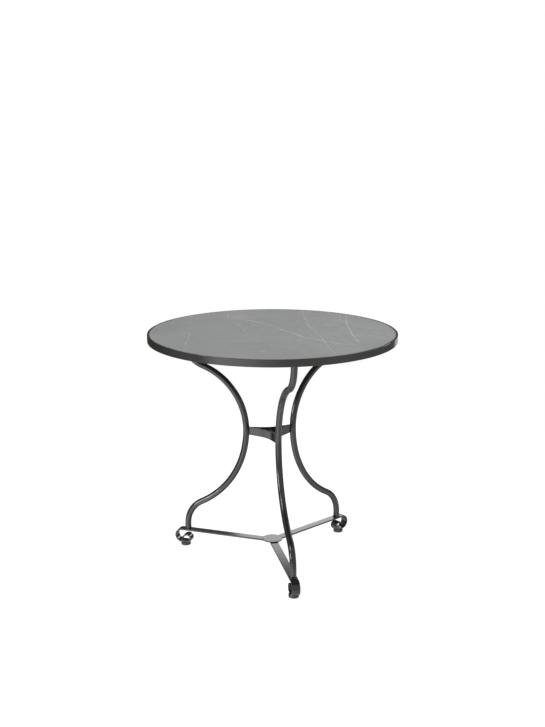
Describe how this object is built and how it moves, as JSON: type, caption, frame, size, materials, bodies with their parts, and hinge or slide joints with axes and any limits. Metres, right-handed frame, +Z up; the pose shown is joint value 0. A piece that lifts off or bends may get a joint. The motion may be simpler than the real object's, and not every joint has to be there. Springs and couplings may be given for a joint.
{
  "type": "bistro table",
  "caption": "Round bistro table: stone top in a flat steel rim on bowed tube legs, joined at the waist by curved bars and below by a star stretcher with scroll feet.",
  "frame": {"origin": "on the floor, on the vertical axis of the round top", "axes": "+Z up; +X to the right and +Y to the back as seen from the front, where one leg points almost straight forward, at 78 degrees clockwise from +X"},
  "size_m": [0.76, 0.76, 0.733],
  "materials": {
    "stone_top": "honed",
    "frame_metal": "satin",
    "slab_pad_rubber": "matt",
    "foot_pad_plastic": "matt",
    "fixing_steel": "black zinc plated"
  },
  "bodies": {
    "table": {"arm_pads": "slab_pad_rubber", "foot_bush_front": "frame_metal", "foot_bush_left": "frame_metal", "foot_bush_right": "frame_metal", "ledge_pads": "slab_pad_rubber", "leg_front": "frame_metal", "leg_left": "frame_metal", "leg_plate_front": "frame_metal", "leg_plate_left": "frame_metal", "leg_plate_right": "frame_metal", "leg_plate_screws_front": "fixing_steel", "leg_plate_screws_left": "fixing_steel", "leg_plate_screws_right": "fixing_steel", "leg_plug_front": "fixing_steel", "leg_plug_left": "fixing_steel", "leg_plug_right": "fixing_steel", "leg_right": "frame_metal", "leg_screw_front": "fixing_steel", "leg_screw_left": "fixing_steel", "leg_screw_right": "fixing_steel", "rim_band": "frame_metal", "rim_ledge": "frame_metal", "stretcher_bar_front": "frame_metal", "stretcher_bar_left": "frame_metal", "stretcher_bar_right": "frame_metal", "stretcher_disc": "frame_metal", "top_arm_front": "frame_metal", "top_arm_left": "frame_metal", "top_arm_right": "frame_metal", "top_hub": "frame_metal", "top_slab": "stone_top", "waist_band_left_front": "frame_metal", "waist_band_rear": "frame_metal", "waist_band_right_front": "frame_metal"},
    "foot_front": {"foot_pad_front": "foot_pad_plastic"},
    "foot_stud_front": {"foot_stud_front": "fixing_steel"},
    "foot_right": {"foot_pad_right": "foot_pad_plastic"},
    "foot_stud_right": {"foot_stud_right": "fixing_steel"},
    "foot_left": {"foot_pad_left": "foot_pad_plastic"},
    "foot_stud_left": {"foot_stud_left": "fixing_steel"}
  },
  "joints": [
    {"name": "foot_front_height", "type": "slide", "parent": "table", "child": "foot_front", "axis": [0, 0, -1], "range_m": [0, 0.005]},
    {"name": "foot_front_screw", "type": "hinge", "parent": "foot_front", "child": "foot_stud_front", "pos_m": [0.06227, -0.29296, 0.008], "axis": [0, 0, -1], "range_deg": [0, 1445]},
    {"name": "foot_right_height", "type": "slide", "parent": "table", "child": "foot_right", "axis": [0, 0, -1], "range_m": [0, 0.005]},
    {"name": "foot_right_screw", "type": "hinge", "parent": "foot_right", "child": "foot_stud_right", "pos_m": [0.22257, 0.2004, 0.008], "axis": [0, 0, -1], "range_deg": [0, 1445]},
    {"name": "foot_left_height", "type": "slide", "parent": "table", "child": "foot_left", "axis": [0, 0, -1], "range_m": [0, 0.005]},
    {"name": "foot_left_screw", "type": "hinge", "parent": "foot_left", "child": "foot_stud_left", "pos_m": [-0.28484, 0.09255, 0.008], "axis": [0, 0, -1], "range_deg": [0, 1445]}
  ],
  "couplings": [
    {"joint": "foot_front_screw", "follows": "foot_front_height", "rad_per_m": 5026.5},
    {"joint": "foot_right_screw", "follows": "foot_right_height", "rad_per_m": 5026.5},
    {"joint": "foot_left_screw", "follows": "foot_left_height", "rad_per_m": 5026.5}
  ]
}
